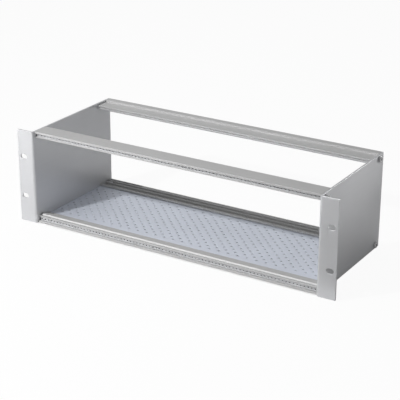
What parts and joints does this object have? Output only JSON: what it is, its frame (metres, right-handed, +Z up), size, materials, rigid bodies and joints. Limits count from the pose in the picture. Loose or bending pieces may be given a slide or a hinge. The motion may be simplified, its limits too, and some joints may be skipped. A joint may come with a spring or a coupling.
{
  "type": "subrack card cage",
  "caption": "Open rack-width card cage: two folded flanged side panels joined by extruded rails with tapped strips, over a perforated floor sheet.",
  "frame": {"origin": "centre of the bounding box's base: midway between the side panels and between flange face and rear edge, on the plane the cage stands on", "axes": "+X to the right seen from the front, -Y towards the flanges and the plug-in side, +Z up"},
  "size_m": [0.4826, 0.18, 0.1325],
  "materials": {
    "panel": "clear anodised, satin",
    "rail": "clear anodised extrusion, satin",
    "strip": "zinc plated",
    "sheet": "clear passivated, satin",
    "screw": "zinc plated"
  },
  "bodies": {
    "root": {"left_side_panel": "panel", "right_side_panel": "panel", "front_top_rail": "rail", "front_bottom_rail": "rail", "rear_top_rail": "rail", "rear_bottom_rail": "rail", "top_tapped_strip": "strip", "bottom_tapped_strip": "strip", "perforated_floor": "sheet", "left_rail_screws": "screw", "right_rail_screws": "screw"}
  },
  "joints": []
}
